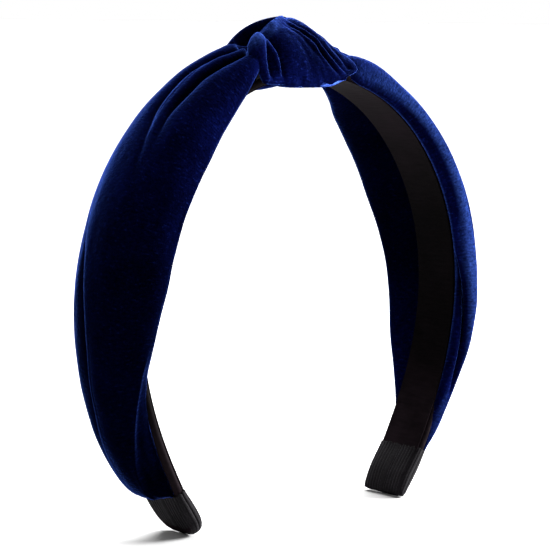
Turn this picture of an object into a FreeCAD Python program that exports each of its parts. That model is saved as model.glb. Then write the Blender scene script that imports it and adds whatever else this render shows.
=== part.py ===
import FreeCAD, Part
import math
import os

# Knotted velvet headband: a flat spring strip bent to the shape of a head, covered in satin
# ribbon, with a padded velvet tube glued along its outer face and knotted over the crown.
#
# Frame: +X ear to ear, -Y the front, +Z up.  The origin is on the level that the two tips
# stand on, midway between them, on the strip's centre line.
# Every cross-section is drawn in (y, n): y across the strip, n outward from the lining.

# ---- driving dimensions, mm -------------------------------------------------------------
HALF_LENGTH = 152.0                 # along the lining, from the crown to a tip
BENDS = (0.0181, 0.0187, 0.0160, 0.0157, 0.0096, -0.0010)   # lining's curvature, crown to tip

BAND_WIDTH_CROWN = 16.0             # over the cover ribbon
BAND_WIDTH_TIP = 14.6
RIBBON = 0.4                        # thickness of the satin ribbons
CORE_THICKNESS = 1.6
MARGIN = 4.5                        # cover ribbon turned over onto the inner face
LINING_WIDTH = 13.8

WRAP_LENGTH = 13.6                  # ribbon wound round each tip
WRAP_THICKNESS = 0.5
WRAP_OVERHANG = 0.4                 # wrap past the end of the core
SLIP = 0.02                         # room between a wrap and the band inside it
WRAP_CORNER = 0.4                   # inside radius of a wrap at the band's edges

GLUE = 0.3
GLUE_WIDTH = 6.0
PILE_WALL = 1.2                     # velvet with its pile
LIP_RADIUS = 1.7                    # rolled edge of the velvet tube
LIP_DROP = -0.5                     # lowest n of a rolled edge's centre

KNOT_LEFT = 22.0                    # crown to the knot's two ends, along the lining
KNOT_RIGHT = 20.0
KNOT_WALL = 2.2                     # doubled velvet

STATIONS = (0.14, 0.30, 0.50, 0.70, 0.92)    # fractions of the half length
# Velvet at each station: reach to the front, reach to the back, height above the lining
LEFT_LEG = ((10.5, 12.0, 11.2), (14.4, 15.5, 9.9), (15.9, 15.5, 10.9), (9.4, 12.8, 11.7), (5.8, 6.8, 7.2))
RIGHT_LEG = ((10.2, 13.6, 9.6), (12.4, 20.2, 7.8), (11.7, 20.4, 9.6), (11.3, 18.8, 9.8), (6.0, 6.8, 6.8))

# ---- derived levels along n -------------------------------------------------------------
CORE_IN = 2 * RIBBON
CORE_OUT = CORE_IN + CORE_THICKNESS
BAND_OUT = CORE_OUT + RIBBON
VELVET_BASE = BAND_OUT + GLUE
STEP = 0.5                          # integration step along the lining
OUTLINE_POINTS = 56                 # round the velvet tube


def between(values, fraction):
    """Straight-line reading of evenly spaced values."""
    place = min(max(fraction, 0.0), 1.0) * (len(values) - 1)
    i = min(int(place), len(values) - 2)
    return values[i] + (values[i + 1] - values[i]) * (place - i)


def lining_line():
    """(x, z, slope) along the right half of the lining, from the crown to the tip."""
    x = z = slope = 0.0
    line = [(x, z, slope)]
    for i in range(int(HALF_LENGTH / STEP)):
        turn = between(BENDS, (i + 0.5) * STEP / HALF_LENGTH) * STEP
        x += math.cos(slope + turn / 2) * STEP
        z -= math.sin(slope + turn / 2) * STEP
        slope += turn
        line.append((x, z, slope))
    return line


LINE = lining_line()
TIP_SLOPE = LINE[-1][2]
RIM_N = BAND_OUT + SLIP + WRAP_THICKNESS
RISE = -(LINE[-1][1] - WRAP_OVERHANG * math.sin(TIP_SLOPE) + RIM_N * math.cos(TIP_SLOPE))


def at(s, y, n):
    """Point at signed length s from the crown (positive to the right)."""
    side = -1.0 if s < 0 else 1.0
    run = abs(s)
    i = min(int(run / STEP), len(LINE) - 2)
    x, z, slope = LINE[i]
    ahead = run - i * STEP
    slope += (LINE[i + 1][2] - slope) * min(ahead / STEP, 1.0)
    x += math.cos(slope) * ahead + n * math.sin(slope)
    z += -math.sin(slope) * ahead + n * math.cos(slope)
    return FreeCAD.Vector(side * x, y, z + RISE)


def band_width(s):
    return BAND_WIDTH_CROWN + (BAND_WIDTH_TIP - BAND_WIDTH_CROWN) * min(abs(s) / HALF_LENGTH, 1.0)


def spaced(start, end, count):
    return [start + (end - start) * i / (count - 1) for i in range(count)]


def wire_of(s, path):
    """Closed wire at s. path lists ("line", p, q) and ("arc", p, middle, q) in (y, n)."""
    edges = []
    for kind, *points in path:
        spots = [at(s, y, n) for y, n in points]
        edges.append(Part.LineSegment(*spots).toShape() if kind == "line" else Part.Arc(*spots).toShape())
    return Part.Wire(edges)


def loft(wires):
    return Part.makeLoft(wires, True, False)


def skin(*layers):
    """Solid with flat ends inside one smooth surface through rings of points.

    A second layer of rings is a bore, open at both ends.
    """
    surfaces = []
    for rings in layers:
        surface = Part.BSplineSurface()
        surface.interpolate([ring + ring[:1] for ring in rings])
        surfaces.append(surface)
    faces = [surface.toShape() for surface in surfaces]
    for end in (0, 1):
        rims = [Part.Wire([surface.uIso(surface.bounds()[end]).toShape()]) for surface in surfaces]
        faces.append(Part.makeFace(rims, "Part::FaceMakerBullseye"))
    shell = Part.makeShell(faces)
    shell.sewShape()
    solid = Part.makeSolid(shell)
    if solid.Volume < 0:
        solid.reverse()
    return solid


def bent_strip(start, end, half, low, high):
    """Flat strip of constant width that follows the lining between two signed lengths."""
    lengths = spaced(start, end, 25)
    rims = []
    for n in (low, high):
        curve = Part.BSplineCurve()
        curve.interpolate(Points=[at(s, -half, n) for s in lengths])
        rims.append(curve.toShape())
    ends = [Part.LineSegment(at(s, -half, low), at(s, -half, high)).toShape() for s in (start, end)]
    outline = Part.Wire(Part.__sortEdges__(rims + ends))
    return Part.Face(outline).extrude(FreeCAD.Vector(0, 2 * half, 0))


def stadium(half, low, high):
    """Flat strip with round edges, half is its half width."""
    r = (high - low) / 2
    flat = half - r
    middle = (low + high) / 2
    return [
        ("line", (-flat, low), (flat, low)),
        ("arc", (flat, low), (half, middle), (flat, high)),
        ("line", (flat, high), (-flat, high)),
        ("arc", (-flat, high), (-half, middle), (-flat, low)),
    ]


def cover_profile(half):
    """Ribbon over the outer face, round both edges and a margin in on the inner face."""
    low = RIBBON
    middle = (low + BAND_OUT) / 2
    flat = half - (BAND_OUT - low) / 2
    inner_half = half - RIBBON
    hem = half - MARGIN
    right = [
        ("arc", (flat, BAND_OUT), (half, middle), (flat, low)),
        ("line", (flat, low), (hem, low)),
        ("line", (hem, low), (hem, CORE_IN)),
        ("line", (hem, CORE_IN), (flat, CORE_IN)),
        ("arc", (flat, CORE_IN), (inner_half, middle), (flat, CORE_OUT)),
    ]
    mirrored = [(kind, *[(-y, n) for y, n in reversed(points)]) for kind, *points in reversed(right)]
    return (
        right
        + [("line", (flat, CORE_OUT), (-flat, CORE_OUT))]
        + mirrored
        + [("line", (-flat, BAND_OUT), (flat, BAND_OUT))]
    )


def whole_band(profile, count=25):
    """Loft a profile(half_width) from the left tip to the right tip."""
    stations = spaced(-HALF_LENGTH, HALF_LENGTH, count)
    return loft([wire_of(s, profile(band_width(s) / 2)) for s in stations])


def band_core():
    return whole_band(lambda half: stadium(half - RIBBON, CORE_IN, CORE_OUT))


def outer_cover_ribbon():
    return whole_band(cover_profile)


def inner_lining_ribbon():
    return bent_strip(-HALF_LENGTH, HALF_LENGTH, LINING_WIDTH / 2, 0.0, RIBBON)


def sleeve_profile(half, grow):
    """Rounded rectangle round the band, grown outward by grow."""
    low = -SLIP - grow
    high = BAND_OUT + SLIP + grow
    side = half + SLIP + grow
    r = WRAP_CORNER + grow
    bend = r * (1 - math.sqrt(0.5))
    return [
        ("line", (-side + r, low), (side - r, low)),
        ("arc", (side - r, low), (side - bend, low + bend), (side, low + r)),
        ("line", (side, low + r), (side, high - r)),
        ("arc", (side, high - r), (side - bend, high - bend), (side - r, high)),
        ("line", (side - r, high), (-side + r, high)),
        ("arc", (-side + r, high), (-side + bend, high - bend), (-side, high - r)),
        ("line", (-side, high - r), (-side, low + r)),
        ("arc", (-side, low + r), (-side + bend, low + bend), (-side + r, low)),
    ]


def end_wrap(side):
    start = HALF_LENGTH - WRAP_LENGTH
    end = HALF_LENGTH + WRAP_OVERHANG
    clear = 1.0

    def solid(grow, low, high):
        wires = [wire_of(side * s, sleeve_profile(band_width(s) / 2, grow)) for s in spaced(low, high, 4)]
        return loft(wires)

    return solid(WRAP_THICKNESS, start, end).cut(solid(0.0, start - clear, end + clear))


def leg_size(table, s):
    """Front reach, back reach and height of the velvet at s, smoothly between the stations."""
    f = min(max(s / HALF_LENGTH, STATIONS[0]), STATIONS[-1])
    i = max(j for j in range(len(STATIONS) - 1) if f >= STATIONS[j])
    t = (f - STATIONS[i]) / (STATIONS[i + 1] - STATIONS[i])
    t = t * t * (3 - 2 * t)
    return [a + (b - a) * t for a, b in zip(table[i], table[i + 1])]


def lip_level(reach):
    """Centre height of a rolled edge: on the band if narrow, hanging past it if wide."""
    seated = VELVET_BASE + LIP_RADIUS
    return min(max(seated - (reach - 8.5), LIP_DROP), seated)


def evenly(points, count):
    """The closed outline read again at count evenly spaced points."""
    closed = points + points[:1]
    lengths = [0.0]
    for p, q in zip(closed, closed[1:]):
        lengths.append(lengths[-1] + math.dist(p, q))
    spots = []
    for k in range(count):
        goal = lengths[-1] * k / count
        i = max(j for j in range(len(points)) if lengths[j] <= goal)
        t = (goal - lengths[i]) / (lengths[i + 1] - lengths[i])
        spots.append(tuple(a + (b - a) * t for a, b in zip(closed[i], closed[i + 1])))
    return spots


def tube_outline(front, back, top, inset):
    """Closed outline of the flattened velvet tube in (y, n), shrunk by the inset."""
    centre = (back - front) / 2
    shoulder = min(BAND_WIDTH_TIP / 2 - 0.1, 0.6 * min(front, back))
    radius = LIP_RADIUS - inset
    base = VELVET_BASE + inset
    halves = []
    for reach, sign in ((back, 1), (front, -1)):
        level = lip_level(reach)
        edge = sign * (reach - inset)
        foot = sign * (reach - LIP_RADIUS)
        half = []
        for t in spaced(0.0, 1.0, 8):
            ease = t * t * (3 - 2 * t)
            y = sign * shoulder + (foot - sign * shoulder) * t
            half.append((y, base - (base - level + radius) * ease))
        for degrees in (150, 120):
            a = math.radians(degrees)
            half.append((foot + sign * radius * math.sin(a), level + radius * math.cos(a)))
        for degrees in range(90, -1, -10):
            a = math.radians(degrees)
            y = centre + (edge - centre) * math.sin(a)
            half.append((y, level + (top - inset - level) * math.cos(a)))
        halves.append(half)
    back_side, front_side = halves
    return evenly([(0.0, base)] + back_side + front_side[-2::-1], OUTLINE_POINTS)


def tube_rings(table, side, start, end, inset, count=13):
    rings = []
    for s in spaced(start, end, count):
        front, back, top = leg_size(table, s)
        rings.append([at(side * s, y, n) for y, n in tube_outline(front, back, top, inset)])
    return rings


LEG_END = HALF_LENGTH - WRAP_LENGTH - 0.1


def velvet_leg(table, side, start):
    return skin(*[tube_rings(table, side, start, LEG_END, inset) for inset in (0.0, PILE_WALL)])


def wadding(table, side, start):
    return skin(tube_rings(table, side, start + 1.0, LEG_END - 2.0, PILE_WALL + 0.1))


def glue_strip(side, start):
    return bent_strip(side * (start + 4.0), side * (LEG_END - 4.0), GLUE_WIDTH / 2, BAND_OUT, VELVET_BASE)


def glue_spot_knot():
    return bent_strip(-12.0, 12.0, 4.0, BAND_OUT, VELVET_BASE)


def knot_strand(table, side, knot_end):
    """The velvet of one leg, bunched up and carried in under the knot."""
    front, back, top = leg_size(table, 0.0)
    rings = []
    for s in spaced(1.0, knot_end - 0.2, 5):
        pinch = 1.0 - 0.12 * math.cos(math.pi / 2 * s / knot_end)
        outline = tube_outline(front * pinch * 0.95, min(back, 10.5) * pinch, top, 0.0)
        rings.append([at(side * s, y, n) for y, n in outline])
    return skin(rings)


# The knot's wrap crosses the crown from front to back: (x, half width, top above its hem)
WRAP_SECTIONS = ((-20.5, 12.6, 14.3), (-15.0, 13.6, 17.4), (-5.0, 13.9, 17.4), (6.0, 13.8, 17.4), (18.5, 12.8, 14.0))
WRAP_CENTRE_Y = 0.8
HEM_BELOW_LINING = 2.4
CROWN = LINE[0][1] + RISE
HEM = CROWN - HEM_BELOW_LINING


def half_ellipse(x, half_width, height, base):
    ellipse = []
    for angle in spaced(0, 180, 9):
        a = math.radians(angle)
        y = WRAP_CENTRE_Y + half_width * math.cos(a)
        ellipse.append(FreeCAD.Vector(x, y, base + height * math.sin(a)))
    curve = Part.BSplineCurve()
    curve.interpolate(Points=ellipse)
    return Part.Wire([curve.toShape(), Part.LineSegment(ellipse[-1], ellipse[0]).toShape()])


def knot_dome(shrink, base, reach):
    """Solid under the wrap's outer surface, shrunk by shrink and lengthened by reach."""
    wires = []
    for i, (x, half_width, height) in enumerate(WRAP_SECTIONS):
        if i == 0:
            x -= reach
        if i == len(WRAP_SECTIONS) - 1:
            x += reach
        wires.append(half_ellipse(x, half_width - shrink, height - shrink + HEM - base, base))
    return loft(wires)


def knot_wrap():
    return knot_dome(0.0, HEM, 0.0).cut(knot_dome(KNOT_WALL, HEM - 1.0, 1.0))


def knot_back_loop(dome):
    """The tube's turn behind the wrap, lying on its back and top: (x, y, z, half depth, half height)."""
    spots = ((-17.0, 11.5, 4.0, 3.2, 4.0), (-13.5, 10.5, 10.5, 4.6, 4.8),
             (-6.0, 7.5, 14.6, 5.2, 4.4), (3.0, 5.0, 14.8, 4.6, 3.6), (10.0, 3.0, 13.2, 3.6, 2.8))
    wires = []
    for x, y, z, depth, height in spots:
        centre = FreeCAD.Vector(x, y, HEM + z)
        ring = []
        for angle in spaced(0, 315, 8):
            a = math.radians(angle)
            ring.append(centre + FreeCAD.Vector(0, depth * math.cos(a), height * math.sin(a)))
        curve = Part.BSplineCurve()
        curve.interpolate(Points=ring, PeriodicFlag=True)
        wires.append(Part.Wire([curve.toShape()]))
    loop = loft(wires).cut(dome)
    return max(loop.Solids, key=lambda solid: solid.Volume)


def build():
    parts = {
        "band_core": band_core(),
        "outer_cover_ribbon": outer_cover_ribbon(),
        "inner_lining_ribbon": inner_lining_ribbon(),
        "glue_spot_knot": glue_spot_knot(),
        "knot_wrap": knot_wrap(),
        "knot_back_loop": knot_back_loop(knot_dome(-0.05, HEM, 0.0)),
    }
    sides = (("left", -1, LEFT_LEG, KNOT_LEFT), ("right", 1, RIGHT_LEG, KNOT_RIGHT))
    for name, side, table, knot_end in sides:
        parts["end_wrap_" + name] = end_wrap(side)
        parts["velvet_leg_" + name] = velvet_leg(table, side, knot_end)
        parts["wadding_" + name] = wadding(table, side, knot_end)
        parts["glue_strip_" + name] = glue_strip(side, knot_end)
        parts["knot_strand_" + name] = knot_strand(table, side, knot_end)
    return parts


os.makedirs("parts", exist_ok=True)
for node, shape in build().items():
    box = shape.optimalBoundingBox()
    shape.exportStep("parts/" + node + ".step")
    print(node, len(shape.Solids), shape.isValid(), round(shape.Volume),
          [round(v, 1) for v in (box.XMin, box.XMax, box.YMin, box.YMax, box.ZMin, box.ZMax)])
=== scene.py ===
import math

import bmesh
import bpy
import numpy as np
from mathutils import Matrix, Vector


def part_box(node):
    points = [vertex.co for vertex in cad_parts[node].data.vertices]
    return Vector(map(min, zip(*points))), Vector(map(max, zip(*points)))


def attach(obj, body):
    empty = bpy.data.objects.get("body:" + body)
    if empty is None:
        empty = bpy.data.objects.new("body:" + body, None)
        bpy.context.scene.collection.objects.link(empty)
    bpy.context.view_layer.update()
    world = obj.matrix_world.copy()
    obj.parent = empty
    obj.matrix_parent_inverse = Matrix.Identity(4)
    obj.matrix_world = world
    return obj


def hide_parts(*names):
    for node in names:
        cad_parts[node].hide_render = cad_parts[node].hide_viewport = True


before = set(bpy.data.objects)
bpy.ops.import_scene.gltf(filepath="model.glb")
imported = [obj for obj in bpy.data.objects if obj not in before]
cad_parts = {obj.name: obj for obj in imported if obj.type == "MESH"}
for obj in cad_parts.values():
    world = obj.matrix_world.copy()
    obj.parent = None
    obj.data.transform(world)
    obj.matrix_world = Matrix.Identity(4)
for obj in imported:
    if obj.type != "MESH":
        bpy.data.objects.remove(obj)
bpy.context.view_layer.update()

# Looks of the knotted velvet headband.  Lengths below are millimetres in the part's frame
# (+X ear to ear, -Y the front, +Z up, z = 0 where the tips stand); meshes are made in metres.
MM = 0.001

# ---- the lining's line, from the same driving dimensions as the CAD part -------------------
HALF_LENGTH = 152.0
BENDS = (0.0181, 0.0187, 0.0160, 0.0157, 0.0096, -0.0010)
BAND_WIDTH_CROWN = 16.0
BAND_WIDTH_TIP = 14.6
BAND_OUT = 2.8
LINING_WIDTH = 13.8
LINING_THICKNESS = 0.4
TIP_ROUND = 5.0         # length over which the tips are rounded
TIP_CORNERS = (4.0, 0.3)        # width each rounded corner takes off, left and right tip
WRAP_LENGTH = 13.6
COVER_MARGIN = 3.6
WRAP_OVERHANG = 0.4
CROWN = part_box("inner_lining_ribbon")[1][2] / MM - LINING_THICKNESS

LINE_S = np.linspace(0.0, HALF_LENGTH, 609)
LINE_BEND = np.interp(LINE_S, np.linspace(0.0, HALF_LENGTH, len(BENDS)), BENDS)


def running_sum(values):
    steps = (values[1:] + values[:-1]) / 2 * np.diff(LINE_S)
    return np.concatenate([[0.0], np.cumsum(steps)])


LINE_SLOPE = running_sum(LINE_BEND)
LINE_X = running_sum(np.cos(LINE_SLOPE))
LINE_Z = CROWN - running_sum(np.sin(LINE_SLOPE))


def at(s, y, n):
    """Points at signed length s from the crown, y across the band and n out from the lining."""
    s, y, n = np.broadcast_arrays(np.asarray(s, float), y, n)
    run = np.abs(s)
    side = np.where(s < 0, -1.0, 1.0)
    past = np.maximum(run - HALF_LENGTH, 0.0)
    slope = np.interp(run, LINE_S, LINE_SLOPE)
    x = np.interp(run, LINE_S, LINE_X) + past * np.cos(slope) + n * np.sin(slope)
    z = np.interp(run, LINE_S, LINE_Z) - past * np.sin(slope) + n * np.cos(slope)
    return np.stack([side * x, y, z], axis=-1)


def band_half(s):
    """Half the covered strip's width; the strip is rounded at its tips."""
    share = np.minimum(np.abs(s) / HALF_LENGTH, 1.0)
    straight = (BAND_WIDTH_CROWN + (BAND_WIDTH_TIP - BAND_WIDTH_CROWN) * share) / 2
    past = np.clip((np.abs(s) - (HALF_LENGTH - TIP_ROUND)) / TIP_ROUND, 0.0, 1.0)
    return straight - np.where(s < 0, *TIP_CORNERS) * (1 - np.sqrt(1 - past**2))


# ---- small numeric helpers ------------------------------------------------------------------
def smooth(points, where):
    """Value of a smooth curve through (place, value) points, flat past its ends."""
    px, py = (np.array(column, float) for column in zip(*points))
    h = np.diff(px)
    d = np.diff(py) / h
    m = np.zeros_like(py)
    inner = d[1:] * d[:-1] > 0
    weight = 2 * h[1:] + h[:-1], h[1:] + 2 * h[:-1]
    with np.errstate(divide="ignore", invalid="ignore"):
        mean = (weight[0] + weight[1]) / (weight[0] / d[:-1] + weight[1] / d[1:])
    m[1:-1] = np.where(inner, mean, 0.0)
    x = np.clip(where, px[0], px[-1])
    i = np.clip(np.searchsorted(px, x, side="right") - 1, 0, len(px) - 2)
    t = (x - px[i]) / h[i]
    return ((2 * t**3 - 3 * t**2 + 1) * py[i] + (t**3 - 2 * t**2 + t) * h[i] * m[i]
            + (3 * t**2 - 2 * t**3) * py[i + 1] + (t**3 - t**2) * h[i] * m[i + 1])


def ripple(u, v, cell_u, cell_v, seed):
    """Smooth noise from -1 to 1 over a surface measured in mm, with cells of the given size."""
    rng = np.random.default_rng(seed)
    lattice = rng.uniform(-1.0, 1.0, (64, 64))
    a, b = np.asarray(u) / cell_u, np.asarray(v) / cell_v
    i, j = np.floor(a).astype(int), np.floor(b).astype(int)
    fa, fb = a - i, b - j
    fa, fb = fa * fa * (3 - 2 * fa), fb * fb * (3 - 2 * fb)
    def node(p, q):
        return lattice[p % 64, q % 64]
    low = node(i, j) * (1 - fa) + node(i + 1, j) * fa
    high = node(i, j + 1) * (1 - fa) + node(i + 1, j + 1) * fa
    return low * (1 - fb) + high * fb


def groove(d, depth, left, right):
    """A crease at signed distance d in mm, with a rounded roll of cloth on each side of it."""
    width = np.where(d < 0, left, right)
    return -depth * np.exp(-(np.sqrt(d * d + 0.03) - 0.17) / width)


# ---- meshes ---------------------------------------------------------------------------------
def grid_object(name, points, cloth=None, painted_light_and_shade=None):
    """Closed object from rows of points in mm. Each row is a closed ring, and the two ends get caps.
    cloth holds each point's place along and across the cloth, in mm, for the weave.  The last argument is
    light and shade painted into the colour at each point: 1 is a pale painted highlight, 0 is plain and -1
    is dark painted shade."""
    rows, cols = points.shape[:2]
    vertices = np.vstack([points.reshape(-1, 3), points[0].mean(axis=0), points[-1].mean(axis=0)]) * MM
    i, j = np.meshgrid(np.arange(rows - 1), np.arange(cols), indexing="ij")
    k = (j + 1) % cols
    quads = np.stack([i * cols + j, i * cols + k, (i + 1) * cols + k, (i + 1) * cols + j], axis=-1)
    faces = quads.reshape(-1, 4).tolist()
    for c in range(cols):
        after = (c + 1) % cols
        last = (rows - 1) * cols
        faces.append([rows * cols, after, c])
        faces.append([rows * cols + 1, last + c, last + after])
    mesh = bpy.data.meshes.new(name)
    mesh.from_pydata(vertices.tolist(), [], faces)
    mesh.polygons.foreach_set("use_smooth", [True] * len(mesh.polygons))
    if cloth is not None:
        place = np.concatenate([cloth, 0 * cloth[..., :1]], axis=-1)
        place = np.vstack([place.reshape(-1, 3), place[0].mean(axis=0), place[-1].mean(axis=0)]) * MM
        weave = mesh.attributes.new("weave", "FLOAT_VECTOR", "POINT")
        weave.data.foreach_set("vector", place.ravel())
    if painted_light_and_shade is not None:
        # mesh attribute that carries the painted light and shade into the velvet's colour
        pile_tone_and_painted_light = mesh.attributes.new("pile_tone_and_painted_light", "FLOAT", "POINT")
        pile_tone_and_painted_light.data.foreach_set("value", np.concatenate([painted_light_and_shade.ravel(), [painted_light_and_shade[0].mean(), painted_light_and_shade[-1].mean()]]))
    mesh.update()
    piece = bpy.data.objects.new(name, mesh)
    bpy.context.scene.collection.objects.link(piece)
    flip_if_inside_out(piece)
    return piece


def flip_if_inside_out(piece):
    bm = bmesh.new()
    bm.from_mesh(piece.data)
    if bm.calc_volume(signed=True) < 0:
        bmesh.ops.reverse_faces(bm, faces=bm.faces)
    bm.to_mesh(piece.data)
    bm.free()


def row_normals(points):
    """Outward unit normals of a grid of closed rings."""
    along = np.gradient(points, axis=0)
    ring = np.roll(points, -1, axis=1) - np.roll(points, 1, axis=1)
    normal = np.cross(along, ring)
    normal /= np.linalg.norm(normal, axis=-1, keepdims=True) + 1e-9
    centre = points.mean(axis=1, keepdims=True)
    if ((points - centre) * normal).sum() < 0:
        normal = -normal
    return normal


# ---- materials ------------------------------------------------------------------------------
class Nodes:
    """Short way to write a node tree."""

    def __init__(self, name):
        self.material = bpy.data.materials.new(name)
        self.material.use_nodes = True
        self.tree = self.material.node_tree
        self.tree.nodes.clear()
        self.out = self.tree.nodes.new("ShaderNodeOutputMaterial")
        self.shader = self.tree.nodes.new("ShaderNodeBsdfPrincipled")
        self.link(self.shader.outputs[0], self.out.inputs["Surface"])

    def link(self, a, b):
        self.tree.links.new(a, b)

    def feed(self, socket, value):
        """Links another node's output to the input, or sets a plain value on it."""
        if isinstance(value, bpy.types.NodeSocket):
            self.link(value, socket)
        else:
            socket.default_value = value

    def add(self, kind, settings=None, **inputs):
        """New node. Inputs go by name, or by number when they are called i0, i1 and so on."""
        node = self.tree.nodes.new(kind)
        for key, value in (settings or {}).items():
            setattr(node, key, value)
        for key, value in inputs.items():
            numbered = key[0] == "i" and key[1:].isdigit()
            self.feed(node.inputs[int(key[1:]) if numbered else key.replace("_", " ")], value)
        return node

    def set(self, **inputs):
        """Inputs of the surface shader."""
        for key, value in inputs.items():
            self.feed(self.shader.inputs[key.replace("_", " ")], value)

    def object_coords(self):
        return self.add("ShaderNodeTexCoord").outputs["Object"]

    def stretched(self, vector, scale):
        return self.add("ShaderNodeMapping", None, Vector=vector, Scale=scale).outputs[0]

    def noise(self, vector, scale, detail=3.0, rough=0.6):
        node = self.add("ShaderNodeTexNoise", None, Vector=vector, Scale=scale, Detail=detail,
                        Roughness=rough)
        return node.outputs["Fac"]

    def ramp(self, value, stops):
        node = self.add("ShaderNodeValToRGB", None, Fac=value)
        elements = node.color_ramp.elements
        while len(elements) < len(stops):
            elements.new(0.5)
        for element, (place, colour) in zip(elements, stops):
            element.position = place
            element.color = (*colour, 1.0)
        return node.outputs["Color"]

    def math(self, operation, a, b):
        return self.add("ShaderNodeMath", {"operation": operation}, i0=a, i1=b).outputs[0]

    def mix(self, factor, a, b, blend="MIX"):
        node = self.add("ShaderNodeMix", {"data_type": "RGBA", "blend_type": blend}, i0=factor)
        for socket, value in ((node.inputs[6], a), (node.inputs[7], b)):
            self.feed(socket, value if isinstance(value, bpy.types.NodeSocket) else (*value, 1.0))
        return node.outputs[2]

    def bump(self, height, strength, distance):
        node = self.add("ShaderNodeBump", None, Height=height, Strength=strength, Distance=distance)
        return node.outputs[0]


def velvet_material():
    """Cut-pile velvet: nearly black face on, blue where the pile is seen side on."""
    m = Nodes("navy_velvet")
    place = m.object_coords()
    weave = m.add("ShaderNodeAttribute", {"attribute_name": "weave"}).outputs["Vector"]
    # random mottle in the velvet's own tone
    pile_tone_and_painted_light = m.noise(place, 80.0, 4.0, 0.6)
    rows = m.noise(m.stretched(weave, (1.0, 0.3, 1.0)), 1900.0, 2.0, 0.6)
    pile = m.noise(place, 1700.0, 3.0, 0.7)
    base = m.ramp(pile_tone_and_painted_light, [(0.30, (0.0003, 0.0004, 0.007)), (0.72, (0.0006, 0.0013, 0.021))])
    speck = m.ramp(m.math("ADD", m.math("MULTIPLY", pile, 0.5), m.math("MULTIPLY", rows, 0.5)),
                   [(0.36, (0.3, 0.3, 0.35)), (0.68, (2.0, 2.0, 1.8))])
    # painted glints: sparse pale blue specks added to the colour as painted highlights on the pile
    glint = m.ramp(m.math("ADD", m.math("MULTIPLY", pile, 0.4), m.math("MULTIPLY", rows, 0.6)),
                   [(0.58, (0.0, 0.0, 0.0)), (0.74, (0.004, 0.010, 0.065))])
    flat = m.mix(1.0, m.mix(1.0, base, speck, "MULTIPLY"), glint, "ADD")
    # painted light and shade read from the mesh attribute: below 0 darkens the colour as painted shade,
    # above 0 adds pale blue as a painted highlight
    painted_light_and_shade = m.add("ShaderNodeAttribute", {"attribute_name": "pile_tone_and_painted_light"}).outputs["Fac"]
    painted_shade = m.ramp(m.math("ADD", painted_light_and_shade, 1.0), [(0.1, (0.15, 0.15, 0.15)), (1.0, (1.0, 1.0, 1.0))])
    painted_highlight = m.ramp(painted_light_and_shade, [(0.0, (0.0, 0.0, 0.0)), (1.0, (0.010, 0.024, 0.115))])
    pale = m.mix(1.0, painted_highlight, speck, "MULTIPLY")
    m.set(Base_Color=m.mix(1.0, m.mix(1.0, flat, painted_shade, "MULTIPLY"), pale, "ADD"), Roughness=0.9)
    m.set(Sheen_Weight=0.55, Sheen_Roughness=0.27, Sheen_Tint=(0.09, 0.20, 0.95, 1.0))
    m.set(Specular_IOR_Level=0.0)
    grain = m.math("ADD", m.math("MULTIPLY", pile, 0.45), m.math("MULTIPLY", rows, 0.55))
    m.set(Normal=m.bump(grain, 0.8, 0.0004))
    return m.material


def satin_material():
    """Black satin ribbon: fine weave, brownish bloom, and painted light that makes it paler low down and
    at the crown.
    """
    m = Nodes("black_satin")
    place = m.object_coords()
    bloom = m.noise(place, 120.0, 4.0, 0.6)
    slub = m.noise(m.stretched(place, (1.0, 0.12, 1.0)), 1500.0, 2.0, 0.6)
    colour = m.ramp(bloom, [(0.25, (0.0010, 0.0007, 0.0009)), (0.75, (0.0030, 0.0021, 0.0027))])
    thread = m.ramp(slub, [(0.3, (0.75, 0.75, 0.75)), (0.7, (1.25, 1.22, 1.22))])
    # painted light: by height, the colour is made paler low down and at the crown and darker in between
    height = m.math("DIVIDE", m.add("ShaderNodeSeparateXYZ", None, Vector=place).outputs["Z"], CROWN * MM)
    painted_light_by_height = m.ramp(height, [(0.10, (3.0, 2.8, 2.9)), (0.34, (0.7, 0.7, 0.7)), (0.66, (0.4, 0.4, 0.4)),
                           (0.92, (1.9, 1.8, 1.9))])
    m.set(Base_Color=m.mix(1.0, m.mix(1.0, colour, thread, "MULTIPLY"), painted_light_by_height, "MULTIPLY"))
    gloss = m.math("ADD", m.math("MULTIPLY", bloom, 0.14), 0.56)
    m.set(Roughness=gloss, Specular_IOR_Level=0.02, IOR=1.3)
    m.set(Normal=m.bump(slub, 0.35, 0.0002))
    return m.material


def grosgrain_material():
    m = Nodes("black_grosgrain")
    place = m.object_coords()
    fuzz = m.noise(place, 2200.0, 3.0, 0.7)
    patch = m.noise(place, 260.0, 3.0, 0.6)
    colour = m.ramp(patch, [(0.3, (0.0026, 0.0022, 0.0029)), (0.75, (0.0065, 0.0055, 0.0070))])
    thread = m.ramp(fuzz, [(0.35, (0.35, 0.35, 0.35)), (0.7, (1.8, 1.75, 1.8))])
    m.set(Base_Color=m.mix(1.0, colour, thread, "MULTIPLY"), Roughness=0.8, Specular_IOR_Level=0.05)
    m.set(Sheen_Weight=0.04, Sheen_Roughness=0.5, Sheen_Tint=(0.8, 0.8, 0.85, 1.0))
    m.set(Normal=m.bump(fuzz, 0.6, 0.0002))
    return m.material


def wadding_material():
    m = Nodes("white_wadding")
    fibre = m.noise(m.stretched(m.object_coords(), (1.0, 1.0, 0.2)), 700.0, 5.0, 0.7)
    m.set(Base_Color=m.ramp(fibre, [(0.3, (0.62, 0.61, 0.58)), (0.7, (0.86, 0.86, 0.84))]), Roughness=0.95)
    m.set(Normal=m.bump(fibre, 0.8, 0.0006))
    return m.material


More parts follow.
